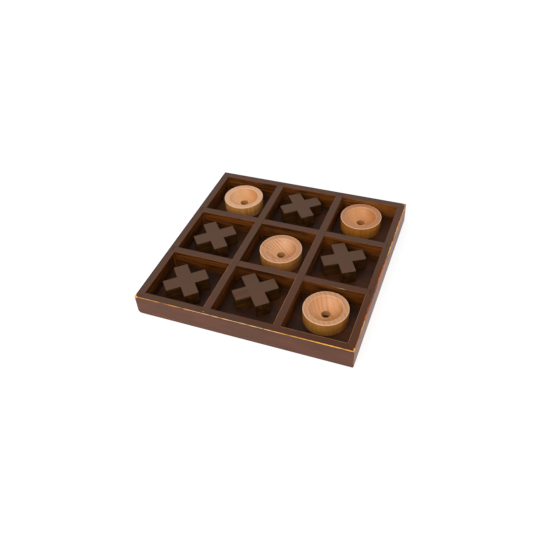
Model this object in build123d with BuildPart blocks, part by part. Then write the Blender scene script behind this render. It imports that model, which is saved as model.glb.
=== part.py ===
from build123d import *
from math import cos, radians, sin
import os

# Tic-tac-toe game: a square wooden tray of nine cells, with five crosses and four dished discs.
# Millimetres. The origin is the centre of the tray's underside, +X right, +Y back, +Z up.

# Frame of the tray
tray_side = 305.0
tray_height = 31.8
rail_thickness = 11.0
corner_radius = 1.5
rail_arris = 1.0

# Base panel, let into a rebate round the underside of the frame
panel_thickness = 5.5
panel_recess = 0.7
rebate_width = 5.0
panel_gap = 0.3

# Dividers, cross-lapped and housed in the rails
divider_thickness = 10.5
housing_depth = 5.0
housing_end_gap = 0.3
slip_gap = 0.1

# Brads that hold the base panel to the rails
brad_diameter = 1.2
brad_length = 12.0
brad_head_diameter = 2.4
brad_head_height = 0.6
brads_per_rail = 3
brad_spacing = 110.0
brad_gap = 0.05

# Crosses, each two bars half-lapped at their middle
bar_length = 61.2
bar_width = 20.0
cross_height = 21.3
bar_corner_radius = 0.8
cross_arris = 0.6

# Turned discs with a dished top and a hole right through
disc_diameter = 61.4
disc_height = 20.6
rim_width = 7.6
dish_depth = 12.3
dish_sag = 1.6
hole_diameter = 11.6
disc_arris = 0.7

# Where each piece lies: column and row of its cell, and how far it has slid from the cell's
# centre, as a share of the room between the piece and the walls.
# A cross also has the turn of its lower bar from the +X direction.
cross_places = {
    "back_middle": dict(cell=(0, 1), slid=(-0.26, 0.77), turn=38.8),
    "middle_left": dict(cell=(-1, 0), slid=(-0.36, 0.16), turn=40.9),
    "middle_right": dict(cell=(1, 0), slid=(-0.41, 0.89), turn=31.1),
    "front_left": dict(cell=(-1, -1), slid=(-0.30, -0.02), turn=40.9),
    "front_middle": dict(cell=(0, -1), slid=(-0.22, 0.87), turn=40.2),
}
disc_places = {
    "back_left": dict(cell=(-1, 1), slid=(-0.07, 0.47)),
    "back_right": dict(cell=(1, 1), slid=(-0.39, 0.86)),
    "centre": dict(cell=(0, 0), slid=(0.12, 0.22)),
    "front_right": dict(cell=(1, -1), slid=(-0.01, 0.66)),
}

# Sizes and levels that follow from the ones above
inner_side = tray_side - 2 * rail_thickness
cell_side = (inner_side - 2 * divider_thickness) / 3
cell_pitch = cell_side + divider_thickness
divider_offset = cell_pitch / 2
rebate_side = inner_side + 2 * rebate_width
floor_level = panel_recess + panel_thickness
divider_height = tray_height - floor_level
divider_lap_level = floor_level + divider_height / 2
brad_line = (inner_side + rebate_width) / 2

os.makedirs("parts", exist_ok=True)


def piece_centre(place, reach):
    """Centre of a piece that reaches this far from its centre along X and Y."""
    room = cell_side / 2 - reach
    column, row = place["cell"]
    across, along = place["slid"]
    return (column * cell_pitch + across * room, row * cell_pitch + along * room)


def cross_reach(turn):
    """How far a cross with its bars at this turn, and square to it, reaches along X and Y."""
    long_side = max(cos(radians(turn)), sin(radians(turn)))
    short_side = min(cos(radians(turn)), sin(radians(turn)))
    return bar_length / 2 * long_side + bar_width / 2 * short_side


# Rails: mitred at the corners, rebated for the panel and housed for the dividers.
# Each is drawn as the front rail on a plane that is turned to its side of the tray.
rail_turns = {"front_rail": 0, "right_rail": 90, "back_rail": 180, "left_rail": 270}
for rail_name, turn in rail_turns.items():
    side_plane = Plane.XY.rotated((0, 0, turn))
    outward = Axis((0, 0, 0), -side_plane.y_dir)
    along_rail = Axis((0, 0, 0), side_plane.x_dir)
    with BuildPart() as rail:
        with BuildSketch(side_plane):
            with BuildLine():
                Polyline(
                    (-tray_side / 2, -tray_side / 2),
                    (tray_side / 2, -tray_side / 2),
                    (inner_side / 2, -inner_side / 2),
                    (-inner_side / 2, -inner_side / 2),
                    close=True,
                )
            make_face()
            RectangleRounded(tray_side, tray_side, corner_radius, mode=Mode.INTERSECT)
        extrude(amount=tray_height)
        outer_face = rail.faces().sort_by(outward)[-1]
        fillet(outer_face.edges().filter_by(along_rail), rail_arris)
        with BuildSketch(side_plane):
            Rectangle(rebate_side, rebate_side)
        extrude(amount=floor_level, mode=Mode.SUBTRACT)
        with BuildSketch(side_plane.offset(floor_level)):
            with Locations((0, -(inner_side + housing_depth) / 2)):
                with GridLocations(cell_pitch, 0, 2, 1):
                    Rectangle(divider_thickness + 2 * slip_gap, housing_depth)
        extrude(amount=divider_height, mode=Mode.SUBTRACT)
        with BuildSketch(side_plane.offset(floor_level)):
            with Locations((0, -brad_line)):
                with GridLocations(brad_spacing, 0, brads_per_rail, 1):
                    Circle(brad_diameter / 2 + brad_gap)
        extrude(amount=brad_length - panel_thickness + brad_gap, mode=Mode.SUBTRACT)
    rail.part.label = rail_name
    export_step(rail.part, f"parts/{rail_name}.step")

# Base panel, with a sunk hole for the head of each brad
with BuildPart() as base_panel:
    with BuildSketch(Plane.XY.offset(panel_recess)):
        Rectangle(rebate_side - 2 * panel_gap, rebate_side - 2 * panel_gap)
    extrude(amount=panel_thickness)
    for turn in rail_turns.values():
        underside = Plane.XY.rotated((0, 0, turn)).offset(panel_recess)
        with BuildSketch(underside):
            with Locations((0, -brad_line)):
                with GridLocations(brad_spacing, 0, brads_per_rail, 1):
                    Circle(brad_diameter / 2 + brad_gap)
        extrude(amount=panel_thickness, mode=Mode.SUBTRACT)
        with BuildSketch(underside):
            with Locations((0, -brad_line)):
                with GridLocations(brad_spacing, 0, brads_per_rail, 1):
                    Circle(brad_head_diameter / 2 + brad_gap)
        extrude(amount=brad_head_height, mode=Mode.SUBTRACT)
base_panel.part.label = "base_panel"
export_step(base_panel.part, "parts/base_panel.step")

# Brads, one group of separate solids
with BuildPart() as base_brads:
    for turn in rail_turns.values():
        underside = Plane.XY.rotated((0, 0, turn)).offset(panel_recess)
        with BuildSketch(underside):
            with Locations((0, -brad_line)):
                with GridLocations(brad_spacing, 0, brads_per_rail, 1):
                    Circle(brad_head_diameter / 2)
        extrude(amount=brad_head_height)
        with BuildSketch(underside):
            with Locations((0, -brad_line)):
                with GridLocations(brad_spacing, 0, brads_per_rail, 1):
                    Circle(brad_diameter / 2)
        extrude(amount=brad_length)
base_brads.part.label = "base_brads"
export_step(base_brads.part, "parts/base_brads.step")

# Dividers: the front-to-back pair is notched from below and runs through on top,
# the side-to-side pair is notched from above.
divider_rows = {
    "divider_left": dict(turn=90, offset=divider_offset, notch_level=floor_level),
    "divider_right": dict(turn=90, offset=-divider_offset, notch_level=floor_level),
    "divider_front": dict(turn=0, offset=-divider_offset, notch_level=divider_lap_level),
    "divider_back": dict(turn=0, offset=divider_offset, notch_level=divider_lap_level),
}
divider_length = inner_side + 2 * (housing_depth - housing_end_gap)
for divider_name, row in divider_rows.items():
    row_plane = Plane.XY.rotated((0, 0, row["turn"]))
    with BuildPart() as divider:
        with BuildSketch(row_plane.offset(floor_level)):
            with Locations((0, row["offset"])):
                Rectangle(divider_length, divider_thickness)
        extrude(amount=divider_height)
        with BuildSketch(row_plane.offset(row["notch_level"])):
            with Locations((0, row["offset"])):
                with GridLocations(cell_pitch, 0, 2, 1):
                    Rectangle(divider_thickness + 2 * slip_gap, divider_thickness)
        extrude(amount=divider_height / 2, mode=Mode.SUBTRACT)
    divider.part.label = divider_name
    export_step(divider.part, f"parts/{divider_name}.step")

# Crosses: the whole cross is shaped first, so that its eased edges run round the joint,
# then each bar keeps its own strip and loses the half that the other bar fills.
cross_lap_level = floor_level + cross_height / 2
lap_width = bar_width + 2 * slip_gap
for cross_name, place in cross_places.items():
    centre = piece_centre(place, cross_reach(place["turn"]))
    lower_turn = place["turn"]
    upper_turn = place["turn"] + 90
    with BuildPart() as blank:
        with BuildSketch(Plane.XY.offset(floor_level)):
            with Locations(centre):
                RectangleRounded(bar_length, bar_width, bar_corner_radius, rotation=lower_turn)
                RectangleRounded(bar_length, bar_width, bar_corner_radius, rotation=upper_turn)
        extrude(amount=cross_height)
        chamfer(blank.faces().sort_by(Axis.Z)[-1].edges(), cross_arris)

    with BuildPart() as upper_bar:
        add(blank.part)
        with BuildSketch(Plane.XY.offset(floor_level)):
            with Locations(centre):
                Rectangle(bar_length, bar_width, rotation=upper_turn)
        extrude(amount=cross_height, mode=Mode.INTERSECT)
        with BuildSketch(Plane.XY.offset(floor_level)):
            with Locations(centre):
                Rectangle(lap_width, bar_width, rotation=upper_turn)
        extrude(amount=cross_height / 2, mode=Mode.SUBTRACT)
    upper_bar.part.label = f"cross_{cross_name}_upper_bar"
    export_step(upper_bar.part, f"parts/cross_{cross_name}_upper_bar.step")

    with BuildPart() as lower_bar:
        add(blank.part)
        with BuildSketch(Plane.XY.offset(floor_level)):
            with Locations(centre):
                Rectangle(bar_length, bar_width, rotation=lower_turn)
        extrude(amount=cross_height, mode=Mode.INTERSECT)
        with BuildSketch(Plane.XY.offset(cross_lap_level)):
            with Locations(centre):
                Rectangle(lap_width, bar_width, rotation=lower_turn)
        extrude(amount=cross_height / 2, mode=Mode.SUBTRACT)
    lower_bar.part.label = f"cross_{cross_name}_lower_bar"
    export_step(lower_bar.part, f"parts/cross_{cross_name}_lower_bar.step")

# Discs: the half section is drawn from the axis outwards and turned once round it
disc_radius = disc_diameter / 2
dish_radius = disc_radius - rim_width
hole_radius = hole_diameter / 2
for disc_name, place in disc_places.items():
    centre_x, centre_y = piece_centre(place, disc_radius)
    section_plane = Plane(origin=(centre_x, centre_y, floor_level), x_dir=(1, 0, 0), z_dir=(0, -1, 0))
    dish_edge = (dish_radius, disc_height)
    dish_bottom = (hole_radius, disc_height - dish_depth)
    with BuildPart() as disc:
        with BuildSketch(section_plane) as half_section:
            with BuildLine():
                SagittaArc(dish_bottom, dish_edge, -dish_sag)
                Polyline(
                    dish_edge,
                    (disc_radius, disc_height),
                    (disc_radius, 0),
                    (hole_radius, 0),
                    dish_bottom,
                )
            make_face()
            chamfer(half_section.vertices().group_by(Axis.X)[-1], disc_arris)
        revolve(axis=Axis((centre_x, centre_y, 0), (0, 0, 1)))
    disc.part.label = f"disc_{disc_name}"
    export_step(disc.part, f"parts/disc_{disc_name}.step")
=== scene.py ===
import bpy
import math
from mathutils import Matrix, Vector


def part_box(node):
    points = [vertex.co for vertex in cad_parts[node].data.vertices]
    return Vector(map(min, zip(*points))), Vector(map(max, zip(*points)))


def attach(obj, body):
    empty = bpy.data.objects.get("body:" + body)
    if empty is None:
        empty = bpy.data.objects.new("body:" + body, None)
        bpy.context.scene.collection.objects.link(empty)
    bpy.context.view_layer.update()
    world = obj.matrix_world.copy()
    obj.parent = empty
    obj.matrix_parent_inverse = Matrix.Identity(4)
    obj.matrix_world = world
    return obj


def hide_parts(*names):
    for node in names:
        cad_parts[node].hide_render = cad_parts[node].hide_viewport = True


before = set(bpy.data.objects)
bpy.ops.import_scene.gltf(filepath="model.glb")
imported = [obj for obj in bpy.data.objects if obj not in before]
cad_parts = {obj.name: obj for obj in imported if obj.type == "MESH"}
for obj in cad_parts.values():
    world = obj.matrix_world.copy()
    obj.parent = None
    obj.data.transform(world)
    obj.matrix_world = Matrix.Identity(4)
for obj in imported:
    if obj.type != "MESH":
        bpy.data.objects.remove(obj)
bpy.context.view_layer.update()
mm = 0.001

# Camera, at the photograph's viewing angle

camera = {
    "place": (0.2530, -0.6153, 0.6147),
    "turn": (46.570, 3.048, 20.733),    # degrees
    "lens": 40.90,
    "sensor": 36,
    "shift": (-0.5 / 540, 0.5 / 540),   # half a pixel
    "nearest": 10 * mm,
}


def addCamera(values):
    bpy.ops.object.camera_add(location=values["place"])
    view = bpy.context.object
    view.name = "photoCamera"
    view.rotation_euler = [math.radians(angle) for angle in values["turn"]]
    view.data.lens = values["lens"]
    view.data.sensor_width = values["sensor"]
    view.data.shift_x, view.data.shift_y = values["shift"]
    view.data.clip_start = values["nearest"]
    bpy.context.scene.camera = view


addCamera(camera)
print("camera is in place")

# Tray: its main sizes are read from the frame

trayLow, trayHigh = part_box("front_rail")
tray = {
    "side": 2 * -trayLow.y,
    "height": trayHigh.z,
    "rail": trayHigh.y - trayLow.y,
    "floor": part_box("base_panel")[1].z,
    "cornerRadius": 1.5 * mm,
    "cornerSteps": 5,
    "arris": 1.0 * mm,           # worn round on the outside edges
    "arrisSteps": 4,
    "innerArris": 0.35 * mm,
    "innerSteps": 2,
    "rebate": 5 * mm,
    "housing": 5 * mm,
    "slipGap": 0.05 * mm,
    "railStep": 5 * mm,          # the pieces are cut this fine, so that worn edges can waver
    "dividerStep": 6 * mm,
    "wearDepth": 0.35 * mm,
    "wearSize": 6 * mm,
    "wearIn": 0.6 * mm,          # how far wear reaches in and down from the top's outside edge
    "wearDown": 1.2 * mm,
    # The lower front left corner is blunt: each knock's direction and depth
    "knocks": (((-1, -0.4, -1), 3.2 * mm), ((-1, -0.4, -0.4), 2.2 * mm), ((-0.4, -0.4, -1), 2.2 * mm)),
}
halfSide, railTop = tray["side"] / 2, tray["height"]
inner = halfSide - tray["rail"]
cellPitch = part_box("divider_right")[0].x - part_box("divider_left")[0].x
overcut = 10 * mm                # how far a cutter stands out of the wood
smoothAngle = math.radians(35)

# Modelling helpers


def pieceName(node):
    first, *others = node.split("_")
    return first + "".join(word.capitalize() for word in others)


def pickOnly(piece):
    bpy.ops.object.select_all(action="DESELECT")
    piece.select_set(True)
    bpy.context.view_layer.objects.active = piece


def setMode(mode):
    bpy.ops.object.mode_set(mode=mode)


def editOnly(piece, kind="VERT"):
    # Leaves the piece active with nothing selected on it, ready for picking one kind of part
    pickOnly(piece)
    bpy.context.tool_settings.mesh_select_mode = [kind == each for each in ("VERT", "EDGE", "FACE")]
    setMode("EDIT")
    bpy.ops.mesh.select_all(action="DESELECT")
    setMode("OBJECT")


def applyPlace(piece):
    pickOnly(piece)
    bpy.ops.object.transform_apply(location=True, rotation=True, scale=True)


def addBlock(name, low, high):
    middle = [(a + b) / 2 for a, b in zip(low, high)]
    bpy.ops.mesh.primitive_cube_add(size=1, location=middle)
    block = bpy.context.object
    block.name = name
    block.scale = [b - a for a, b in zip(low, high)]
    applyPlace(block)
    return block


def near(value, target, reach=0.02 * mm):
    return abs(value - target) < reach


def isUpright(a, b):
    return near(a.x, b.x) and near(a.y, b.y)


def roundEdges(piece, wanted, width, segments):
    editOnly(piece, "EDGE")
    points = piece.data.vertices
    for edge in piece.data.edges:
        edge.select = wanted(*[points[i].co for i in edge.vertices])
    setMode("EDIT")
    bpy.ops.mesh.bevel(offset=width, segments=segments, profile=0.5, clamp_overlap=False)
    setMode("OBJECT")


def cutPlane(piece, point, normal, trim=False):
    # Adds edges where the plane meets the piece, or trims off the side that the normal points to
    editOnly(piece)
    setMode("EDIT")
    bpy.ops.mesh.select_all(action="SELECT")
    bpy.ops.mesh.bisect(plane_co=point, plane_no=normal, clear_outer=trim, use_fill=trim)
    setMode("OBJECT")


def cutAlong(piece, axis, low, high, step):
    count = int((high - low) / step)
    along = Vector([float(each == axis) for each in range(3)])
    for i in range(1, count):
        cutPlane(piece, along * (low + (high - low) * i / count), along)


def cutAway(piece, low, high):
    cutter = addBlock("cutter", low, high)
    change = piece.modifiers.new("cut", "BOOLEAN")
    change.operation = "DIFFERENCE"
    change.solver = "EXACT"
    change.object = cutter
    editOnly(piece)
    bpy.ops.object.modifier_apply(modifier=change.name)
    bpy.data.objects.remove(cutter)


def wearDown(piece, touched, depth, size):
    group = piece.vertex_groups.new(name="worn")
    group.add([v.index for v in piece.data.vertices if touched(v.co)], 1.0, "REPLACE")
    clouds = bpy.data.textures.new(piece.name + "Wear", "CLOUDS")
    clouds.noise_scale = size
    change = piece.modifiers.new("wear", "DISPLACE")
    change.texture = clouds
    change.texture_coords = "LOCAL"
    change.vertex_group = group.name
    change.mid_level = 0
    change.strength = -depth
    editOnly(piece)
    bpy.ops.object.modifier_apply(modifier=change.name)
    piece.vertex_groups.clear()
    bpy.data.textures.remove(clouds)


def outlineTop(piece):
    # A sharp outline keeps the flat top's shading flat up to its eased edges
    editOnly(piece, "FACE")
    for face in piece.data.polygons:
        face.select = face.normal.z > 0.999
    setMode("EDIT")
    bpy.ops.mesh.region_to_loop()
    bpy.ops.mesh.mark_sharp()
    setMode("OBJECT")


def finishPiece(piece, node, body, material):
    pickOnly(piece)
    bpy.ops.object.shade_smooth_by_angle(angle=smoothAngle)
    if not node.startswith("disc"):
        outlineTop(piece)
    flatter = piece.modifiers.new("flatter", "WEIGHTED_NORMAL")
    flatter.keep_sharp = True
    bpy.ops.object.modifier_apply(modifier=flatter.name)
    piece.data.materials.clear()
    piece.data.materials.append(material)
    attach(piece, body)
    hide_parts(node)


# Material helpers


def colour(red, green, blue):
    def linear(value):
        value = value / 255
        return value / 12.92 if value <= 0.04045 else ((value + 0.055) / 1.055) ** 2.4
    return (linear(red), linear(green), linear(blue), 1)


def addNode(tree, kind, settings=None, **inputs):
    # An input is named, or i0, i1 and so on by its number, and takes a value or a link
    node = tree.nodes.new(kind)
    for key, value in (settings or {}).items():
        setattr(node, key, value)
    for key, value in inputs.items():
        socket = node.inputs[int(key[1:]) if key[0] == "i" and key[1:].isdigit() else key]
        if isinstance(value, bpy.types.NodeSocket):
            tree.links.new(value, socket)
        else:
            socket.default_value = value
    return node


def maths(tree, operation, first, second=0.0, third=0.0):
    return addNode(tree, "ShaderNodeMath", {"operation": operation}, i0=first, i1=second, i2=third).outputs[0]


def times(tree, first, second):
    return maths(tree, "MULTIPLY", first, second)


def vectorMaths(tree, operation, first, second=(0, 0, 0)):
    node = addNode(tree, "ShaderNodeVectorMath", {"operation": operation}, i0=first, i1=second)
    return node.outputs["Value"] if operation in ("LENGTH", "DOT_PRODUCT") else node.outputs[0]


def scaled(tree, vector, factors):
    return vectorMaths(tree, "MULTIPLY", vector, factors)


def split(tree, vector):
    return addNode(tree, "ShaderNodeSeparateXYZ", Vector=vector).outputs


def noise(tree, vector, scale, detail=2.0, roughness=0.5):
    return addNode(tree, "ShaderNodeTexNoise", Vector=vector, Scale=scale, Detail=detail,
                   Roughness=roughness).outputs[0]


def ramp(tree, value, low, high, first=0.0, last=1.0):
    return addNode(tree, "ShaderNodeMapRange", {"interpolation_type": "SMOOTHSTEP"},
                   i0=value, i1=low, i2=high, i3=first, i4=last).outputs[0]


def mixColour(tree, share, first, second, blend="MIX"):
    return addNode(tree, "ShaderNodeMix", {"data_type": "RGBA", "blend_type": blend},
                   i0=share, i6=first, i7=second).outputs[2]


def tinted(tree, shade, factor):
    tint = addNode(tree, "ShaderNodeCombineColor", i0=factor, i1=factor, i2=factor).outputs[0]
    return mixColour(tree, 1.0, shade, tint, "MULTIPLY")


def streaked(tree, shade, fibre, darkest, lightest, spread=0.2):
    # Tints a shade along the wood's streaks
    return tinted(tree, shade, ramp(tree, fibre["Streaks"], 0.5 - spread, 0.5 + spread, darkest, lightest))


def bands(tree, distance, count):
    # From 0 to 1 and back, count times a metre
    phase = times(tree, distance, times(tree, count, 2 * math.pi))
    return maths(tree, "MULTIPLY_ADD", maths(tree, "SINE", phase), 0.5, 0.5)


vectorKind, colourKind = "NodeSocketVector", "NodeSocketColor"


def startGroup(name, **inputs):
    # An input is given as the number that it starts from, or as its kind
    tree = bpy.data.node_groups.new(name, "ShaderNodeTree")
    for label, value in inputs.items():
        isNumber = isinstance(value, float)
        kind = "NodeSocketFloat" if isNumber else value
        socket = tree.interface.new_socket(label, in_out="INPUT", socket_type=kind)
        if isNumber:
            socket.default_value = value
    return tree, tree.nodes.new("NodeGroupInput").outputs


def endGroup(tree, **values):
    # Puts each value out under its name
    for label in values:
        kind = colourKind if label == "Color" else "NodeSocketFloat"
        tree.interface.new_socket(label, in_out="OUTPUT", socket_type=kind)
    result = tree.nodes.new("NodeGroupOutput").inputs
    for label, value in values.items():
        tree.links.new(value, result[label])
    return tree


def useGroup(tree, group, **inputs):
    return addNode(tree, "ShaderNodeGroup", {"node_tree": group}, **inputs).outputs


# Shared effects

effect = {
    "streakScale": 420.0, "streakDetail": 4.0, "streakRoughness": 0.6,
    "bendScale": 55.0, "bendReach": 0.03, "layerTilt": 0.9,
    "patchStretch": (0.35, 1.0, 1.0), "patchScale": 5.0,
    "raggedScale": 120.0, "raggedSwing": 4.0, "wearCore": 0.75,
    "chipScale": 350.0, "chipSwing": 1.6, "chipCore": 0.85,
    "mottleOffset": (0.31, 0.17, 0.53), "mottleFrom": 0.45, "mottleTo": 0.7,
    "growthShare": 0.3, "amberFrom": 0.38, "amberTo": 0.8, "redAmount": 0.45,
    # Painted shade: how dark the walls are painted at the cells' floor
    "floorDark": 0.72,           # the walls' tint at the floor
    "fleckDark": 0.66, "fleckLight": 1.24,
}


def makeFibreGroup():
    # Fine streaks, growth bands and soft patches, all long along X
    tree, given = startGroup("woodFibre", Vector=vectorKind, Stretch=12.0, Bands=60.0, Patches=14.0)
    shorter = maths(tree, "DIVIDE", 1.0, given["Stretch"])
    shrink = addNode(tree, "ShaderNodeCombineXYZ", X=shorter, Y=1.0, Z=1.0).outputs[0]
    stretched = scaled(tree, given["Vector"], shrink)
    streaks = noise(tree, stretched, effect["streakScale"], effect["streakDetail"], effect["streakRoughness"])
    parts = split(tree, stretched)
    bend = noise(tree, stretched, effect["bendScale"])
    flow = maths(tree, "MULTIPLY_ADD", bend, effect["bendReach"], parts[1])
    flow = maths(tree, "MULTIPLY_ADD", parts[2], effect["layerTilt"], flow)
    patch = noise(tree, scaled(tree, given["Vector"], effect["patchStretch"]),
                  times(tree, given["Patches"], effect["patchScale"]))
    return endGroup(tree, Streaks=streaks, Growth=bands(tree, flow, given["Bands"]), Patch=patch)


def makeArrisGroup():
    # Wear along one straight edge: 1 on the edge, fading out at a ragged width
    tree, given = startGroup("arrisWear", Position=vectorKind, Point=vectorKind, Across=vectorKind,
                             Width=0.001, Ragged=0.5)
    away = scaled(tree, vectorMaths(tree, "SUBTRACT", given["Position"], given["Point"]), given["Across"])
    rough = noise(tree, given["Position"], effect["raggedScale"], 4.0)
    swing = times(tree, maths(tree, "SUBTRACT", rough, 0.5), effect["raggedSwing"])
    width = times(tree, given["Width"], maths(tree, "MULTIPLY_ADD", swing, given["Ragged"], 1.0))
    core = times(tree, width, effect["wearCore"])
    return endGroup(tree, Mask=ramp(tree, vectorMaths(tree, "LENGTH", away), core, width, 1.0, 0.0))


def makeChipGroup():
    # A knocked-off patch of finish round one point
    tree, given = startGroup("chippedSpot", Position=vectorKind, Point=vectorKind, Size=vectorKind)
    away = vectorMaths(tree, "SUBTRACT", given["Position"], given["Point"])
    reach = vectorMaths(tree, "LENGTH", vectorMaths(tree, "DIVIDE", away, given["Size"]))
    rough = noise(tree, given["Position"], effect["chipScale"], 3.0)
    reach = maths(tree, "MULTIPLY_ADD", rough, effect["chipSwing"],
                  maths(tree, "SUBTRACT", reach, effect["chipSwing"] / 2))
    return endGroup(tree, Mask=ramp(tree, reach, effect["chipCore"], 1.0, 1.0, 0.0))


def makeMottleGroup():
    # Slow drift of a finish between three shades
    tree, given = startGroup("mottle", Vector=vectorKind, Base=colourKind, Green=colourKind, Red=colourKind,
                             Scale=60.0, Amount=0.5)
    shade = given["Base"]
    moved = vectorMaths(tree, "ADD", given["Vector"], effect["mottleOffset"])
    for vector, other in ((given["Vector"], "Green"), (moved, "Red")):
        share = ramp(tree, noise(tree, vector, given["Scale"]), effect["mottleFrom"], effect["mottleTo"])
        shade = mixColour(tree, times(tree, share, given["Amount"]), shade, given[other])
    return endGroup(tree, Color=shade)


def makeStainGroup():
    # Amber stain on the walls of the cells: streaked and darker in blotches, with painted shade darkening it
    # towards the floor
    tree, given = startGroup("wallStain", Streaks=0.5, Growth=0.5, Patch=0.5, Height=0.02, Low=0.0, High=0.03,
                             Dark=colourKind, Amber=colourKind, Red=colourKind)
    amber = maths(tree, "MULTIPLY_ADD", given["Growth"], effect["growthShare"], given["Patch"])
    amber = ramp(tree, amber, effect["amberFrom"], effect["amberTo"])
    red = times(tree, ramp(tree, given["Streaks"], 0.5, 0.7), effect["redAmount"])
    shade = mixColour(tree, red, mixColour(tree, amber, given["Dark"], given["Amber"]), given["Red"])
    # Painted shade: the walls darken towards the floor
    level = ramp(tree, given["Height"], given["Low"], given["High"], effect["floorDark"], 1.0)
    fleck = ramp(tree, given["Streaks"], 0.36, 0.64, effect["fleckDark"], effect["fleckLight"])
    return endGroup(tree, Color=tinted(tree, shade, times(tree, level, fleck)))


woodFibre = makeFibreGroup()
arrisWear = makeArrisGroup()
chippedSpot = makeChipGroup()
mottle = makeMottleGroup()
wallStain = makeStainGroup()


def startMaterial(name, roughness, gloss):
    material = bpy.data.materials.new(name)
    material.use_nodes = True
    tree = material.node_tree
    shader = tree.nodes["Principled BSDF"]
    shader.inputs["Roughness"].default_value = roughness
    shader.inputs["Specular IOR Level"].default_value = gloss
    return material, tree, shader, tree.nodes.new("ShaderNodeTexCoord").outputs["Object"]


def grainVector(tree, place, centre, turn):
    # Place on the piece, measured from its centre and with X along its grain
    return addNode(tree, "ShaderNodeMapping", {"vector_type": "TEXTURE"}, Vector=place, Location=centre,
                   Rotation=(0, 0, turn)).outputs[0]


def startWood(name, centre, turn, looks):
    material, tree, shader, place = startMaterial(name, looks["roughness"], looks["gloss"])
    grain = grainVector(tree, place, centre, turn)
    fibre = useGroup(tree, woodFibre, Vector=grain, Stretch=looks["stretch"], Bands=looks["bands"],
                     Patches=looks["patches"])
    return material, tree, shader, place, grain, fibre


def endMaterial(tree, shader, shade, height, looks):
    tree.links.new(shade, shader.inputs["Base Color"])
    bump = addNode(tree, "ShaderNodeBump", Height=height, Distance=looks["bumpDepth"],
                   Strength=looks["bumpStrength"])
    tree.links.new(bump.outputs[0], shader.inputs["Normal"])


# The tray's finish

finish = {
    "top": colour(84, 55, 39), "topWarm": colour(80, 43, 20), "topGreen": colour(82, 60, 41),
    "topRed": colour(90, 54, 41),
    # The paler outer brown is the outer paint lightened by a painted sheen, for the right rail's outer face
    "outer": colour(105, 67, 50), "outerPale": colour(148, 96, 70), "outerRed": colour(117, 69, 54),
    "outerDark": colour(92, 60, 46),
    "stainDark": colour(50, 23, 4), "stainAmber": colour(112, 60, 16), "stainRed": colour(88, 38, 8),
    "amberGlow": colour(150, 88, 32),
    "gold": colour(250, 172, 74), "cream": colour(240, 202, 162), "orange": colour(196, 98, 30),
    "tan": colour(176, 118, 78), "rust": colour(140, 70, 34), "vivid": colour(226, 112, 30),
    # The darkest brown is painted shade for the tray's far outer edges
    "edgeDark": colour(34, 20, 20), "seam": colour(70, 28, 14),
    "floor": colour(46, 24, 14), "floorAmber": colour(70, 36, 12),
    "roughness": 0.5, "gloss": 0.18, "bumpDepth": 0.12 * mm, "bumpStrength": 0.6,
    "stretch": 18.0, "bands": 230.0, "patches": 14.0,    # the walls' grain
    "topScale": 45.0, "outerScale": 60.0, "mottleAmount": 0.7,
    "warmBand": (60 * mm, 270 * mm),
    "streaks": (0.97, 1.03), "outerStreaks": (0.84, 1.14),     # darkest and lightest tints
    "outerTop": 0.86, "outerEnd": 0.94,      # the outer faces' tints below the arris and at one end
    "driftScale": 22.0,                      # of a worn line between two colours
    # Where one finish gives way to the next, in from the outer face, the inner face and the top
    "outerBand": (0.25 * mm, 0.6 * mm), "innerBand": (0.5 * mm, 0.1 * mm), "railBand": (0.5 * mm, 0.2 * mm),
    "dividerBand": (0.6 * mm, 0.2 * mm),
    # A paler amber line at a cell's left corner, and a pale strip near the back of its left wall
    "cornerBand": (0.8 * mm, 2.6 * mm), "cornerAmount": 0.5,
    "stripStart": (80.5 * mm, 83.5 * mm), "stripEnd": (85.6 * mm, 86.6 * mm),
    "stripHeight": (16 * mm, 29 * mm), "stripAmount": 0.75, "stripTop": 0.25,
}


def paintedShade(tree, place, fibre):
    shade = useGroup(tree, mottle, Vector=place, Base=finish["top"], Green=finish["topGreen"],
                     Red=finish["topRed"], Scale=finish["topScale"], Amount=finish["mottleAmount"])["Color"]
    # Brown turns warmer towards the tray's front right corner
    warmth = ramp(tree, vectorMaths(tree, "DOT_PRODUCT", place, (1, -1, 0)), *finish["warmBand"])
    shade = mixColour(tree, warmth, shade, finish["topWarm"])
    return streaked(tree, shade, fibre, *finish["streaks"])


def outerShade(tree, grain, fibre, main):
    shade = useGroup(tree, mottle, Vector=scaled(tree, grain, (0.3, 1, 1)), Base=finish[main],
                     Green=finish["outerDark"], Red=finish["outerRed"], Scale=finish["outerScale"],
                     Amount=finish["mottleAmount"])["Color"]
    local = split(tree, grain)
    shade = streaked(tree, shade, fibre, *finish["outerStreaks"], spread=0.25)
    shade = tinted(tree, shade, ramp(tree, local[2], 26 * mm, 30 * mm, 1.0, finish["outerTop"]))
    return tinted(tree, shade, ramp(tree, local[0], -100 * mm, 100 * mm, 1.0, finish["outerEnd"]))


def stainedShade(tree, fibre, height, level):
    shade = useGroup(tree, wallStain, Streaks=fibre["Streaks"], Growth=fibre["Growth"], Patch=fibre["Patch"],
                     Height=height, Low=tray["floor"], High=railTop, Dark=finish["stainDark"],
                     Amber=finish["stainAmber"], Red=finish["stainRed"])["Color"]
    return tinted(tree, shade, level)


def intoCell(tree, along):
    # Distance past the front or left wall of the cell
    return maths(tree, "FLOORED_MODULO", maths(tree, "ADD", along, inner), cellPitch)


def cornerLine(tree, shade, along):
    past = intoCell(tree, along)
    mask = times(tree, ramp(tree, past, *finish["cornerBand"], 1.0, 0.0), finish["cornerAmount"])
    return mixColour(tree, mask, shade, finish["stainAmber"])


def paleStrip(tree, shade, along, height):
    past = intoCell(tree, along)
    mask = times(tree, ramp(tree, past, *finish["stripStart"]),
                 ramp(tree, past, *finish["stripEnd"], 1.0, 0.0))
    amount = ramp(tree, height, *finish["stripHeight"], finish["stripAmount"], finish["stripTop"])
    return mixColour(tree, times(tree, mask, amount), shade, finish["amberGlow"])


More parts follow.
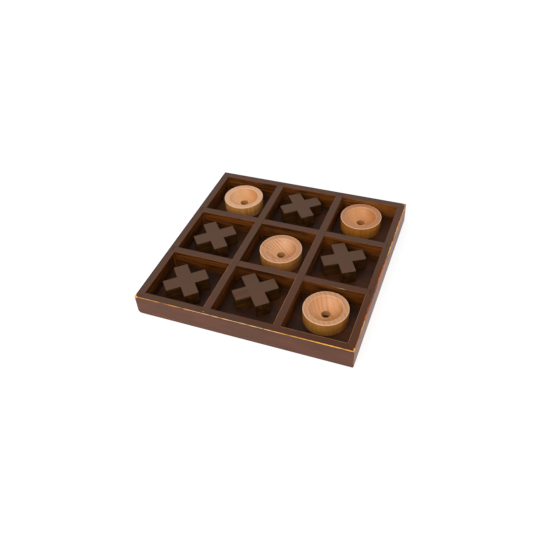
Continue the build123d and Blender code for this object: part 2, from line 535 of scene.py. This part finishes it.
def addWear(tree, shade, place, wear):
    # The edge runs along X (0) or Y (1) at a distance and height, and may be worn only within a stretch
    axis, at, height = wear["edge"]
    point, across = ((0, at, height), (0, 1, 1)) if axis == 0 else ((at, 0, height), (1, 0, 1))
    mask = useGroup(tree, arrisWear, Position=place, Point=point, Across=across, Width=wear["width"],
                    Ragged=wear["ragged"])["Mask"]
    mask = times(tree, mask, wear["amount"])
    bared = finish[wear["colour"]]
    if "second" in wear:
        # The bared line changes from one shade to another along the edge
        drift = ramp(tree, noise(tree, place, finish["driftScale"]), 0.42, 0.58)
        bared = mixColour(tree, drift, bared, finish[wear["second"]])
    if "within" in wear:
        low, high, soft = wear["within"]
        along = split(tree, place)[axis]
        mask = times(tree, mask, ramp(tree, along, low - soft, low + soft))
        mask = times(tree, mask, ramp(tree, along, high - soft, high + soft, 1.0, 0.0))
    return mixColour(tree, mask, shade, bared)


def addChip(tree, shade, place, chip):
    mask = useGroup(tree, chippedSpot, Position=place, Point=chip["point"], Size=chip["size"])["Mask"]
    return mixColour(tree, times(tree, mask, chip.get("amount", 1.0)), shade, finish[chip["colour"]])


def wornShade(tree, shade, place, looks):
    for wear in looks["wears"]:
        shade = addWear(tree, shade, place, wear)
    for chip in looks["chips"]:
        shade = addChip(tree, shade, place, chip)
    return shade


def railMaterial(name, turn, looks):
    looks = {**finish, **looks}
    material, tree, shader, place, grain, fibre = startWood(name, (0, 0, 0), turn, looks)
    painted = tinted(tree, paintedShade(tree, place, fibre), looks["topShade"])
    outer = outerShade(tree, grain, fibre, looks["outer"])
    local, world = split(tree, grain), split(tree, place)
    stained = stainedShade(tree, fibre, local[2], looks["wallShade"])
    if name.startswith("left"):
        stained = paleStrip(tree, stained, world[1], local[2])
    if "glowFrom" in looks:
        stained = cornerLine(tree, stained, world[0])
        glow = times(tree, ramp(tree, world[0], looks["glowFrom"], looks["glowFrom"] + 10 * mm),
                     ramp(tree, fibre["Patch"], 0.35, 0.6, 0.2, 0.8))
        stained = mixColour(tree, glow, stained, finish["amberGlow"])
    # In the rail's own frame its outer face looks along -Y and its inner face along +Y
    isOuter = ramp(tree, local[1], *[depth - halfSide for depth in looks["outerBand"]], 1.0, 0.0)
    isInner = ramp(tree, local[1], *[-inner - depth for depth in looks["innerBand"]])
    below = ramp(tree, local[2], *[railTop - depth for depth in looks["railBand"]], 1.0, 0.0)
    shade = mixColour(tree, isOuter, painted, outer)
    shade = mixColour(tree, times(tree, isInner, below), shade, stained)
    roughness = ramp(tree, isOuter, 0.0, 1.0, finish["roughness"], looks["roughness"])
    tree.links.new(roughness, shader.inputs["Roughness"])
    endMaterial(tree, shader, wornShade(tree, shade, place, looks), fibre["Streaks"], looks)
    return material


def dividerMaterial(name, middle, alongY, looks):
    turn = math.pi / 2 if alongY else 0
    material, tree, shader, place, _, fibre = startWood(name, middle, turn, finish)
    x, y, height = split(tree, place)
    stained = stainedShade(tree, fibre, height, looks["wallShade"])
    stained = paleStrip(tree, stained, y, height) if alongY else cornerLine(tree, stained, x)
    below = ramp(tree, height, *[railTop - depth for depth in finish["dividerBand"]], 1.0, 0.0)
    shade = mixColour(tree, below, paintedShade(tree, place, fibre), stained)
    endMaterial(tree, shader, wornShade(tree, shade, place, looks), fibre["Streaks"], finish)
    return material


# Rails: a rounded slab of the tray's size is cut down to the front rail, then copied round


def makeFrontRail():
    slab = addBlock("slab", (-halfSide, -halfSide, 0), (halfSide, halfSide, railTop))
    roundEdges(slab, isUpright, tray["cornerRadius"], tray["cornerSteps"])
    roundEdges(slab, lambda a, b: near(a.z, b.z) and (near(a.z, 0) or near(a.z, railTop)), tray["arris"],
               tray["arrisSteps"])
    for point, normal in (((0, 0, 0), (1, 1, 0)), ((0, 0, 0), (-1, 1, 0)), ((0, -inner, 0), (0, 1, 0))):
        cutPlane(slab, point, normal, trim=True)
    rebateLine = inner + tray["rebate"]
    cutAway(slab, (-rebateLine, -rebateLine, -overcut), (rebateLine, rebateLine, tray["floor"]))
    for divider in ("divider_left", "divider_right"):
        low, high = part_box(divider)
        cutAway(slab, (low.x - tray["slipGap"], -inner - tray["housing"], tray["floor"] - 1 * mm),
                (high.x + tray["slipGap"], -inner + overcut, railTop + overcut))
    roundEdges(slab, lambda a, b: all(near(p.z, railTop) and near(p.y, -inner) for p in (a, b)),
               tray["innerArris"], tray["innerSteps"])
    cutAlong(slab, 0, -halfSide, halfSide, tray["railStep"])
    return slab


def knockCorner(rail):
    corner = Vector((-halfSide, -halfSide, 0))
    for direction, depth in tray["knocks"]:
        outwards = Vector(direction).normalized()
        cutPlane(rail, corner - outwards * depth, outwards, trim=True)


railTurns = {"front_rail": 0, "right_rail": 90, "back_rail": 180, "left_rail": 270}


def makeRails():
    first = makeFrontRail()
    rails = {}
    for node, turn in railTurns.items():
        rail = first.copy()
        rail.data = first.data.copy()
        rail.name = pieceName(node)
        bpy.context.scene.collection.objects.link(rail)
        rail.rotation_euler = (0, 0, math.radians(turn))
        applyPlace(rail)
        if node in ("front_rail", "left_rail"):
            knockCorner(rail)
        wearDown(rail, lambda co: max(abs(co.x), abs(co.y)) > halfSide - tray["wearIn"]
                 and co.z > railTop - tray["wearDown"], tray["wearDepth"], tray["wearSize"])
        rails[node] = rail
    bpy.data.objects.remove(first)
    return rails


frontTop, rightTop = (0, -halfSide, railTop), (1, halfSide, railTop)
frontInner, rightInner = (0, -inner, railTop), (1, inner, railTop)
quietTan = {"width": 0.45 * mm, "ragged": 0.7, "colour": "tan", "amount": 0.25}
quietRust = {"width": 0.5 * mm, "ragged": 0.7, "colour": "rust", "amount": 0.6}
# Painted shade: a dark line along the tray's far outer top edges
farEdgeShade = {"width": 2.5 * mm, "ragged": 0.2, "colour": "edgeDark", "amount": 0.88}
housingSeam = {"size": (0.8 * mm, 7 * mm, 1 * mm), "colour": "seam", "amount": 0.6}
railLooks = {
    "front_rail": {
        "topShade": 0.86, "wallShade": 1.0, "outer": "outer", "gloss": 0.2,
        "wears": [
            {"edge": frontTop, "width": 0.8 * mm, "ragged": 0.25, "colour": "gold", "amount": 0.85},
            {"edge": frontTop, "width": 0.8 * mm, "ragged": 0.25, "colour": "cream", "amount": 0.6,
             "within": (-70 * mm, 50 * mm, 20 * mm)},
            {"edge": frontTop, "width": 1.1 * mm, "ragged": 0.35, "colour": "gold", "amount": 0.95,
             "within": (85 * mm, halfSide, 30 * mm)},
            {"edge": (0, -halfSide, 0), "width": 0.9 * mm, "ragged": 0.5, "colour": "rust", "amount": 0.9},
            {"edge": frontInner, "width": 0.7 * mm, "ragged": 0.35, "colour": "tan", "amount": 0.75,
             "within": (50 * mm, inner, 4 * mm)},
            {"edge": frontInner, **quietRust, "within": (-inner, 50 * mm, 4 * mm)},
        ],
        "chips": [
            {"point": (-halfSide, -halfSide, railTop), "size": (5 * mm, 3 * mm, 3 * mm), "colour": "gold"},
            {"point": (-51 * mm, -149 * mm, railTop), "size": (2.2 * mm, 1.2 * mm, 1 * mm),
             "colour": "orange", "amount": 0.45},
            {"point": (halfSide, -halfSide, 14 * mm), "size": (1.2 * mm, 1.2 * mm, 16 * mm),
             "colour": "orange", "amount": 0.5},
        ],
    },
    "right_rail": {
        # The right rail's outer face takes the paler brown, a painted sheen
        "topShade": 0.98, "wallShade": 1.0, "outer": "outerPale", "roughness": 0.42, "gloss": 0.2,
        "wears": [
            {"edge": rightTop, "width": 1.5 * mm, "ragged": 0.6, "colour": "orange", "second": "gold",
             "amount": 0.95, "within": (20 * mm, halfSide, 10 * mm)},
            {"edge": rightTop, "width": 1.9 * mm, "ragged": 0.6, "colour": "orange", "second": "rust",
             "amount": 0.95, "within": (-100 * mm, 30 * mm, 10 * mm)},
            {"edge": rightTop, "width": 1.7 * mm, "ragged": 0.5, "colour": "vivid", "amount": 0.8,
             "within": (-30 * mm, 20 * mm, 6 * mm)},
            {"edge": rightTop, "width": 1.1 * mm, "ragged": 0.3, "colour": "gold", "second": "orange",
             "amount": 0.95, "within": (-halfSide, -100 * mm, 2 * mm)},
            {"edge": rightInner, "width": 0.6 * mm, "ragged": 0.4, "colour": "tan", "amount": 0.7,
             "within": (-inner, -50 * mm, 4 * mm)},
            {"edge": rightInner, **quietRust, "within": (-50 * mm, inner, 4 * mm)},
        ],
        "chips": [
            {"point": (halfSide, halfSide, railTop), "size": (5 * mm, 6 * mm, 3 * mm), "colour": "tan"},
            {"point": (halfSide, -halfSide, railTop), "size": (3 * mm, 6 * mm, 3 * mm), "colour": "gold"},
        ],
    },
    "back_rail": {
        "topShade": 1.02, "wallShade": 1.22, "outer": "outer", "gloss": 0.2,
        "glowFrom": 56 * mm,
        "wears": [{"edge": (0, halfSide, railTop), **farEdgeShade}, {"edge": (0, inner, railTop), **quietTan}],
        "chips": [
            {"point": (halfSide, halfSide, railTop), "size": (6 * mm, 4 * mm, 3 * mm), "colour": "tan"},
        ],
    },
    "left_rail": {
        "topShade": 1.0, "wallShade": 0.88, "outer": "outer", "gloss": 0.2,
        "wears": [{"edge": (1, -halfSide, railTop), **farEdgeShade}, {"edge": (1, -inner, railTop), **quietTan}],
        "chips": [
            {"point": (-halfSide, -halfSide, railTop), "size": (3 * mm, 5 * mm, 3 * mm), "colour": "gold"},
            *[{"point": (-inner - 4.9 * mm, y, railTop), **housingSeam} for y in (48.9 * mm, -48.9 * mm)],
        ],
    },
}

for node, rail in makeRails().items():
    material = railMaterial(rail.name + "Finish", math.radians(railTurns[node]), railLooks[node])
    finishPiece(rail, node, "tray", material)
print("rails are made")

# Dividers, cross-lapped where they meet

dividerLooks = {
    "divider_left": {"wallShade": 0.96},
    "divider_right": {"wallShade": 1.1},
    "divider_front": {"wallShade": 1.0},
    "divider_back": {"wallShade": 1.2},
}
for node, looks in dividerLooks.items():
    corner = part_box(node)[0]
    looks["chips"] = []
    if node in ("divider_left", "divider_right"):
        looks["wears"] = [
            {"edge": (1, corner.x, railTop), "width": width, "ragged": 0.4, "colour": "tan", "amount": amount,
             "within": (start, end, 3 * mm)}
            for width, amount, start, end in ((0.7 * mm, 0.75, -inner, -50 * mm),
                                              (0.55 * mm, 0.6, -50 * mm, 50 * mm),
                                              (0.5 * mm, 0.35, 50 * mm, inner))]
    else:
        looks["wears"] = [{"edge": (0, corner.y, railTop), **quietTan}]
    if node == "divider_front":
        looks["chips"] = [{"point": (108 * mm, corner.y, railTop), "size": (7 * mm, 0.5 * mm, 0.5 * mm),
                           "colour": "cream", "amount": 0.5}]


def makeDivider(node, alongY):
    low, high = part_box(node)
    divider = addBlock(pieceName(node), low, high)
    along = 1 if alongY else 0
    lap = (tray["floor"] + railTop) / 2
    for other in ("divider_front", "divider_back") if alongY else ("divider_left", "divider_right"):
        otherLow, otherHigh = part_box(other)
        cutLow = [value - overcut for value in low]
        cutHigh = [value + overcut for value in high]
        cutLow[along] = otherLow[along] - tray["slipGap"]
        cutHigh[along] = otherHigh[along] + tray["slipGap"]
        if alongY:
            cutHigh[2] = lap
        else:
            cutLow[2] = lap
        cutAway(divider, cutLow, cutHigh)
    roundEdges(divider, lambda a, b: near(a.z, railTop) and near(b.z, railTop), tray["innerArris"],
               tray["innerSteps"])
    cutAlong(divider, along, low[along], high[along], tray["dividerStep"])
    return divider


for node, looks in dividerLooks.items():
    alongY = node in ("divider_left", "divider_right")
    divider = makeDivider(node, alongY)
    low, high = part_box(node)
    material = dividerMaterial(divider.name + "Finish", tuple((low + high) / 2), alongY, looks)
    finishPiece(divider, node, "tray", material)
print("dividers are made")

# Base panel and brads keep their own shapes

base = {
    "roughness": 0.55, "gloss": 0.2, "stretch": 10.0, "bands": 35.0, "patches": 5.0, "streaks": (0.85, 1.12),
    "bumpDepth": 0.12 * mm, "bumpStrength": 0.6,
    "steel": colour(150, 148, 144), "steelStain": colour(92, 76, 62), "steelRoughness": 0.4,
    "steelGloss": 0.18, "spotScale": 1500.0, "metallic": 0.9,
}


def panelMaterial():
    material, tree, shader, _, _, fibre = startWood("basePanelFinish", (0, 0, 0), 0, base)
    shade = mixColour(tree, ramp(tree, fibre["Patch"], 0.42, 0.68), finish["floor"], finish["floorAmber"])
    shade = streaked(tree, shade, fibre, *base["streaks"], spread=0.25)
    endMaterial(tree, shader, shade, fibre["Streaks"], base)
    return material


def bradMaterial():
    material, tree, shader, place = startMaterial("bradSteel", base["steelRoughness"], base["steelGloss"])
    spots = ramp(tree, noise(tree, place, base["spotScale"], 3.0), 0.5, 0.7)
    tree.links.new(mixColour(tree, spots, base["steel"], base["steelStain"]), shader.inputs["Base Color"])
    shader.inputs["Metallic"].default_value = base["metallic"]
    return material


for node, material in (("base_panel", panelMaterial()), ("base_brads", bradMaterial())):
    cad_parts[node].data.materials.clear()
    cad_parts[node].data.materials.append(material)
print("base is finished")

# Crosses: two bars each, half-lapped

cross = {
    "length": 61.2 * mm, "width": 20.0 * mm,
    "arris": 0.6 * mm, "arrisSteps": 3,
    "corner": 0.8 * mm, "cornerSteps": 3,
    "slipGap": 0.03 * mm,
    # Degrees from X to the lower bar
    "turns": {"back_middle": 38.8, "middle_left": 40.9, "middle_right": 31.1, "front_left": 40.9,
              "front_middle": 40.2},
    "top": colour(87, 61, 44), "topOlive": colour(85, 64, 45), "topRed": colour(92, 58, 42),
    "side": colour(56, 30, 4), "sideLight": colour(92, 56, 18),
    "bared": colour(84, 46, 24), "border": colour(120, 90, 68),
    "bareBar": "cross_front_middle_lower_bar", "bareAmount": 0.6,
    "roughness": 0.5, "gloss": 0.18, "stretch": 10.0, "bands": 150.0, "patches": 20.0,
    "mottleScale": 50.0, "mottleAmount": 0.6, "lightAmount": 0.6, "borderAmount": 0.7,
    "streaks": (0.97, 1.03), "sideStreaks": (0.85, 1.12), "sideGrowth": (1.1, 0.75),
    "bumpDepth": 0.1 * mm, "bumpStrength": 0.35,
}


def barMaterial(name, centre, turn, bareAmount):
    material, tree, shader, place, grain, fibre = startWood(name, centre, turn, cross)
    local = split(tree, grain)
    painted = useGroup(tree, mottle, Vector=place, Base=cross["top"], Green=cross["topOlive"],
                       Red=cross["topRed"], Scale=cross["mottleScale"], Amount=cross["mottleAmount"])["Color"]
    painted = streaked(tree, painted, fibre, *cross["streaks"])
    if bareAmount:
        # On one arm the grain shows through the brown
        bared = times(tree, ramp(tree, local[0], -11 * mm, -9 * mm, 1.0, 0.0),
                      ramp(tree, fibre["Growth"], 0.5, 0.95))
        painted = mixColour(tree, times(tree, bared, bareAmount), painted, cross["bared"])
    light = times(tree, ramp(tree, fibre["Patch"], 0.4, 0.7), cross["lightAmount"] + bareAmount / 2)
    stained = mixColour(tree, light, cross["side"], cross["sideLight"])
    stained = tinted(tree, stained, ramp(tree, fibre["Growth"], 0.2, 1.0, *cross["sideGrowth"]))
    stained = streaked(tree, stained, fibre, *cross["sideStreaks"])
    shade = mixColour(tree, ramp(tree, local[2], -0.9 * mm, -0.45 * mm, 1.0, 0.0), painted, stained)
    # The brown is rubbed pale where the top's edges are eased
    border = times(tree, ramp(tree, local[2], -0.35 * mm, -0.1 * mm, cross["borderAmount"], 0.0),
                   ramp(tree, local[2], -0.7 * mm, -0.4 * mm))
    endMaterial(tree, shader, mixColour(tree, border, shade, cross["border"]), fibre["Streaks"], cross)
    return material


def makeBar(node, isLower, bottom, top):
    halfLength, halfWidth = cross["length"] / 2, cross["width"] / 2
    reach = cross["corner"] + 0.1 * mm

    def onArm(a, b):
        # The top's edges outside the joint, along both sides and round the end
        alongSide = all(near(abs(p.y), halfWidth, reach) for p in (a, b)) and a.y * b.y > 0
        acrossEnd = all(near(abs(p.x), halfLength, reach) for p in (a, b))
        return (near(a.z, top) and near(b.z, top) and abs(a.x + b.x) / 2 > halfWidth
                and (alongSide or acrossEnd))

    block = addBlock(pieceName(node).replace("Bar", ""), (-halfLength, -halfWidth, bottom),
                     (halfLength, halfWidth, top))
    roundEdges(block, isUpright, cross["corner"], cross["cornerSteps"])
    for side in (-halfWidth, halfWidth):
        cutPlane(block, (side, 0, 0), (1, 0, 0))
    roundEdges(block, onArm, cross["arris"], cross["arrisSteps"])
    lap, jointSide = (bottom + top) / 2, halfWidth + cross["slipGap"]
    cutAway(block, (-jointSide, -halfWidth - overcut, lap if isLower else bottom - overcut),
            (jointSide, halfWidth + overcut, top + overcut if isLower else lap))
    return block


for name, lowerTurn in cross["turns"].items():
    body = "cross_" + name
    low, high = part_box(body + "_lower_bar")
    x, y = (low.x + high.x) / 2, (low.y + high.y) / 2
    for bar, turn in (("_lower_bar", lowerTurn), ("_upper_bar", lowerTurn + 90)):
        piece = makeBar(body + bar, bar == "_lower_bar", low.z, high.z)
        piece.rotation_euler = (0, 0, math.radians(turn))
        piece.location = (x, y, 0)
        applyPlace(piece)
        bareAmount = cross["bareAmount"] if body + bar == cross["bareBar"] else 0
        material = barMaterial(piece.name + "Finish", (x, y, high.z), math.radians(turn), bareAmount)
        finishPiece(piece, body + bar, body, material)
print("crosses are made")

# Discs, turned in one piece with a dish and a hole

disc = {
    "rim": 7.6 * mm,
    "dishDepth": 12.3 * mm,
    "dishSag": 1.6 * mm,
    "dishSteps": 14,
    "hole": 5.8 * mm,
    "arris": 0.7 * mm,
    "lip": 0.45 * mm,                 # eased edges of dish and hole
    "grooveStep": 12,                 # the point of the dish that has the turned groove
    "groove": ((-0.5 * mm, -0.42 * mm), (0, -0.3 * mm), (0.35 * mm, 0.25 * mm)),
    "steps": 112,
    "roughness": 0.4, "gloss": 0.32, "bumpDepth": 0.08 * mm, "bumpStrength": 0.5,
    # The edge colour paints highlights along the rim's eased edges
    "edge": colour(246, 204, 164), "holeWall": colour(188, 136, 82), "line": colour(150, 84, 44),
    "sideStreak": colour(138, 80, 30),
    # Painted shade darkens the sides low down and a painted sheen lightens them high on the right
    "sideLow": 0.8, "sideSheen": 1.3, "streakAmount": 0.34, "outerEdge": 0.7, "innerEdge": 0.28,
    "uprightScale": 190.0, "bendReach": 6 * mm, "ringPower": 2.5,
    "boardNoise": ((0.3, 45.0), (0.08, 900.0), (0.5, 60.0)),    # stretch and scale of bend, pores and cloud
}


def arcPoints(start, end, sag, count):
    # Points of a shallow arc from start to end that bows away by sag
    sx, sz = start
    ex, ez = end
    chord = math.hypot(ex - sx, ez - sz)
    radius = (chord ** 2 / 4 + sag ** 2) / (2 * sag)
    nx, nz = (ez - sz) / chord, -(ex - sx) / chord
    points = []
    for i in range(count + 1):
        t = i / count
        bow = math.sqrt(radius ** 2 - ((t - 0.5) * chord) ** 2) - (radius - sag)
        points.append((sx + (ex - sx) * t + nx * bow, sz + (ez - sz) * t + nz * bow))
    return points


def discProfile(radius, bottom, top):
    # The section's outline as (r, z), up the hole, along the dish, over the rim and down the side
    dishEdge, arris, lip, step = radius - disc["rim"], disc["arris"], disc["lip"], disc["grooveStep"]
    foot = (disc["hole"], top - disc["dishDepth"])
    dish = arcPoints(foot, (dishEdge, top), disc["dishSag"], disc["dishSteps"])
    r, z = dish[0]
    profile = [(r, bottom), (r, z - lip), (r + lip * 0.8, z + lip * 0.4)] + dish[1:step]
    r, z = dish[step]
    profile += [(r + outwards, z + upwards) for outwards, upwards in disc["groove"]] + dish[step + 1:-1]
    profile += [(dishEdge - lip * 0.5, top - lip), (dishEdge, top - lip * 0.3), (dishEdge + lip, top)]
    for angle in (90, 60, 30, 0):
        turned = math.radians(angle)
        profile.append((radius - arris + arris * math.cos(turned), top - arris + arris * math.sin(turned)))
    return profile + [(radius, bottom + arris), (radius - arris, bottom)]


def makeDisc(node):
    low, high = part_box(node)
    x, y = (low.x + high.x) / 2, (low.y + high.y) / 2
    radius = (high.x - low.x) / 2
    profile = discProfile(radius, low.z, high.z)
    bpy.ops.mesh.primitive_plane_add(size=1 * mm, location=(x + profile[0][0], y, profile[0][1]))
    piece = bpy.context.object
    piece.name = pieceName(node)
    applyPlace(piece)
    editOnly(piece)
    setMode("EDIT")
    bpy.ops.mesh.select_all(action="SELECT")
    bpy.ops.mesh.merge(type="CENTER")
    for (fromR, fromZ), (toR, toZ) in zip(profile, profile[1:] + profile[:1]):
        bpy.ops.mesh.extrude_region_move(TRANSFORM_OT_translate={"value": (toR - fromR, 0, toZ - fromZ)})
    bpy.ops.mesh.select_all(action="SELECT")
    bpy.ops.mesh.remove_doubles(threshold=0.001 * mm)
    bpy.ops.mesh.select_all(action="SELECT")
    bpy.ops.mesh.spin(steps=disc["steps"], angle=2 * math.pi, center=(x, y, 0), axis=(0, 0, 1))
    bpy.ops.mesh.select_all(action="SELECT")
    bpy.ops.mesh.remove_doubles(threshold=0.01 * mm)
    bpy.ops.mesh.normals_make_consistent(inside=False)
    setMode("OBJECT")
    return piece, (x, y, high.z), radius


def makeTurnedGrainGroup():
    # Growth layers of a board, as rings round a far pith along X, and pores along X
    tree, given = startGroup("turnedGrain", Vector=vectorKind, PithAcross=0.03, PithDepth=0.04, Rings=550.0)
    parts = split(tree, given["Vector"])
    across = maths(tree, "ADD", parts[1], given["PithAcross"])
    depth = maths(tree, "ADD", parts[2], given["PithDepth"])
    away = maths(tree, "SQRT", maths(tree, "ADD", times(tree, across, across), times(tree, depth, depth)))
    bend, pores, cloud = [noise(tree, scaled(tree, given["Vector"], (stretch, 1, 1)), scale)
                          for stretch, scale in disc["boardNoise"]]
    wave = bands(tree, maths(tree, "MULTIPLY_ADD", bend, disc["bendReach"], away), given["Rings"])
    return endGroup(tree, Ring=maths(tree, "POWER", wave, disc["ringPower"]), Pores=pores, Cloud=cloud)


turnedGrain = makeTurnedGrainGroup()

discLooks = {
    "disc_back_left": {
        "rim": colour(222, 172, 134), "dish": colour(231, 177, 126), "warm": colour(208, 138, 76),
        "side": colour(206, 144, 72), "warmTurn": 35, "turn": -38, "pith": (0.048, 0.015), "rings": 330,
        "ring": 0.3},
    "disc_back_right": {
        "rim": colour(186, 124, 85), "dish": colour(220, 158, 102), "warm": colour(188, 118, 60),
        "side": colour(190, 118, 42), "warmTurn": 20, "turn": -39, "pith": (0.045, 0.021), "rings": 300,
        "ring": 0.36},
    "disc_centre": {
        "rim": colour(199, 142, 102), "dish": colour(222, 166, 120), "warm": colour(188, 124, 74),
        "side": colour(192, 126, 60), "warmTurn": -20, "turn": -42, "pith": (0.0375, 0.033), "rings": 300,
        "ring": 0.5},
    "disc_front_right": {
        "rim": colour(200, 145, 105), "dish": colour(218, 156, 106), "warm": colour(180, 118, 62),
        "side": colour(196, 131, 58), "warmTurn": -40, "turn": -54, "pith": (0.12, -0.01), "rings": 170,
        "ring": 0.36},
}


def discSideShade(tree, level, facing, looks):
    # Painted shade darker low down, with upright streaks and a painted sheen high on the right
    parts = split(tree, facing)
    side = tinted(tree, looks["side"], ramp(tree, parts[2], -20 * mm, -4 * mm, disc["sideLow"], 1.0))
    upright = noise(tree, scaled(tree, level, (1, 1, 0.06)), disc["uprightScale"], 3.0)
    dark = ramp(tree, upright, 0.52, 0.66, 0.0, disc["streakAmount"])
    side = mixColour(tree, dark, side, disc["sideStreak"])
    side = tinted(tree, side, ramp(tree, upright, 0.34, 0.5, 1.12, 1.0))
    sheen = times(tree, ramp(tree, parts[0], 8 * mm, 26 * mm), ramp(tree, parts[2], -13 * mm, -4 * mm))
    return tinted(tree, side, ramp(tree, sheen, 0.0, 1.0, 1.0, disc["sideSheen"]))


def discMaterial(name, centre, radius, looks):
    material, tree, shader, place = startMaterial(name, disc["roughness"], disc["gloss"])
    board = useGroup(tree, turnedGrain, Vector=grainVector(tree, place, centre, math.radians(looks["turn"])),
                     Rings=looks["rings"], PithAcross=looks["pith"][0], PithDepth=looks["pith"][1])
    level = grainVector(tree, place, centre, math.radians(looks["warmTurn"]))
    facing = grainVector(tree, place, centre, 0)
    parts = split(tree, level)
    outwards = vectorMaths(tree, "LENGTH", scaled(tree, level, (1, 1, 0)))
    dishEdge = radius - disc["rim"]
    warmth = maths(tree, "MULTIPLY_ADD", board["Cloud"], 20 * mm, parts[0])
    shade = mixColour(tree, ramp(tree, warmth, 0.0, 32 * mm), looks["dish"], looks["warm"])
    onRim = ramp(tree, outwards, dishEdge - 0.6 * mm, dishEdge - 0.1 * mm)
    shade = mixColour(tree, onRim, shade, looks["rim"])
    onSide = ramp(tree, outwards, radius - 0.35 * mm, radius - 0.1 * mm)
    shade = mixColour(tree, onSide, shade, discSideShade(tree, level, facing, looks))
    # Growth lines come and go over the board
    lines = times(tree, board["Ring"], ramp(tree, board["Cloud"], 0.36, 0.6, 0.4, 1.0))
    lines = times(tree, lines, ramp(tree, onSide, 0.0, 1.0, looks["ring"], looks["ring"] / 2))
    shade = mixColour(tree, lines, shade, disc["line"])
    shade = tinted(tree, shade, ramp(tree, board["Pores"], 0.3, 0.7, 0.95, 1.05))
    # Painted highlights: pale lines along the rim's two eased edges
    outerEdge = times(tree, ramp(tree, outwards, radius - 1.3 * mm, radius - 0.7 * mm),
                      ramp(tree, parts[2], -0.9 * mm, -0.4 * mm, 0.0, disc["outerEdge"]))
    innerEdge = times(tree, ramp(tree, outwards, dishEdge - 0.9 * mm, dishEdge - 0.3 * mm),
                      ramp(tree, outwards, dishEdge + 0.3 * mm, dishEdge + 0.8 * mm, disc["innerEdge"], 0.0))
    shade = mixColour(tree, maths(tree, "MAXIMUM", outerEdge, innerEdge), shade, disc["edge"])
    # Painted shade: the hole's wall is darkened
    inHole = ramp(tree, outwards, disc["hole"] + 0.1 * mm, disc["hole"] + 0.5 * mm, 1.0, 0.0)
    endMaterial(tree, shader, mixColour(tree, inHole, shade, disc["holeWall"]), board["Pores"], disc)
    return material


for node, looks in discLooks.items():
    piece, centre, radius = makeDisc(node)
    finishPiece(piece, node, node, discMaterial(piece.name + "Finish", centre, radius, looks))
print("discs are made")

# Stage and lights

light = {
    "skyStrength": 0.62,
    "keyPlace": (-0.12, -1.02, 1.10), "keySize": 1.0, "keyPower": 11.0,
    "floorSize": 12, "floorDrop": 0.2 * mm,
    "floorShade": (0.8, 0.8, 0.8, 1),
    "floorSeen": (0.3, 0.3, 0.3, 1),   # what the camera sees, with the glow on top of it
    "floorGlow": 0.8,
    "white": (1, 1, 1, 1),
}


def seenDirectly(tree):
    # 1 for the camera, reflections and glass, and 0 for light between surfaces
    path = tree.nodes.new("ShaderNodeLightPath").outputs
    seen = maths(tree, "MAXIMUM", path["Is Camera Ray"], path["Is Glossy Ray"])
    return maths(tree, "MAXIMUM", seen, path["Is Transmission Ray"])


def addStage(values):
    bpy.ops.mesh.primitive_plane_add(size=values["floorSize"], location=(0, 0, -values["floorDrop"]))
    floor = bpy.context.object
    floor.name = "paleFloor"
    material, tree, shader = startMaterial("paleFloor", 1.0, 0.0)[:3]
    # The camera and reflections see a nearly white sweep that keeps a faint shadow
    seen = seenDirectly(tree)
    shade = mixColour(tree, seen, values["floorShade"], values["floorSeen"])
    tree.links.new(shade, shader.inputs["Base Color"])
    glow = addNode(tree, "ShaderNodeEmission", Color=values["white"],
                   Strength=times(tree, seen, values["floorGlow"]))
    total = tree.nodes.new("ShaderNodeAddShader")
    tree.links.new(shader.outputs[0], total.inputs[0])
    tree.links.new(glow.outputs[0], total.inputs[1])
    tree.links.new(total.outputs[0], tree.nodes["Material Output"].inputs[0])
    floor.data.materials.append(material)


def addWorld(values):
    world = bpy.data.worlds.new("studio")
    bpy.context.scene.world = world
    world.use_nodes = True
    tree = world.node_tree
    back = tree.nodes["Background"]
    back.inputs["Color"].default_value = values["white"]
    extra = times(tree, seenDirectly(tree), 1.0 - values["skyStrength"])
    tree.links.new(maths(tree, "ADD", extra, values["skyStrength"]), back.inputs["Strength"])


def addLamp(name, place, size, power):
    bpy.ops.object.light_add(type="AREA", location=place)
    lamp = bpy.context.object
    lamp.name = name
    lamp.data.shape = "SQUARE"
    lamp.data.size = size
    lamp.data.energy = power
    lamp.rotation_euler = (-Vector(place)).to_track_quat("-Z", "Y").to_euler()


addStage(light)
addWorld(light)
addLamp("keyLamp", light["keyPlace"], light["keySize"], light["keyPower"])
bpy.context.scene.view_settings.view_transform = "Standard"
print("stage and lights are set")
